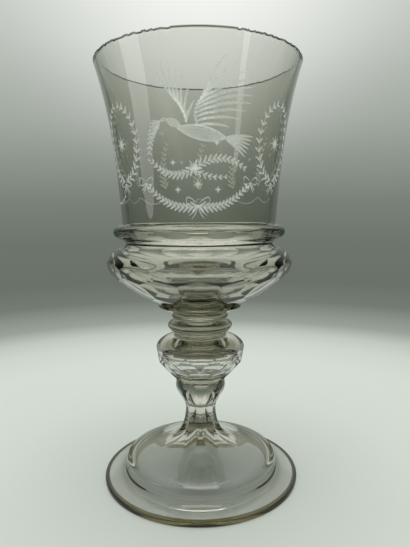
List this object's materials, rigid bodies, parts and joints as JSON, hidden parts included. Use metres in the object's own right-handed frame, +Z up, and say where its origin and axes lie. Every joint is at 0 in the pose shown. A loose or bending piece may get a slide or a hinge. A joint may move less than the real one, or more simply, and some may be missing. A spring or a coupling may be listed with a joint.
{
  "type": "drinking glass",
  "caption": "Tall footed drinking goblet in clear glass: flared engraved cup, applied ring, facet-cut bowl base and knop, fluted stem and domed round foot.",
  "frame": {"origin": "centre of the foot's underside, on the surface that the goblet stands on", "axes": "+Z up along the goblet's axis; -Y is the side that the picture shows; +X to that side's right"},
  "size_m": [0.1156, 0.1156, 0.24],
  "materials": {
    "cup_glass": "blown clear glass, fire polished, wheel engraved",
    "cut_glass": "clear glass, cut with flats and polished",
    "stem_glass": "solid clear glass, polished",
    "foot_glass": "clear glass with a brown-green cast at the edge, polished"
  },
  "bodies": {
    "root": {"foot": "foot_glass", "stem": "stem_glass", "knop": "cut_glass", "knop_collar": "stem_glass", "stem_merese": "stem_glass", "bowl_button": "stem_glass", "bowl_merese": "stem_glass", "bowl_cushion": "cut_glass", "bowl_ring": "cut_glass", "bowl_cup": "cup_glass"}
  },
  "joints": []
}
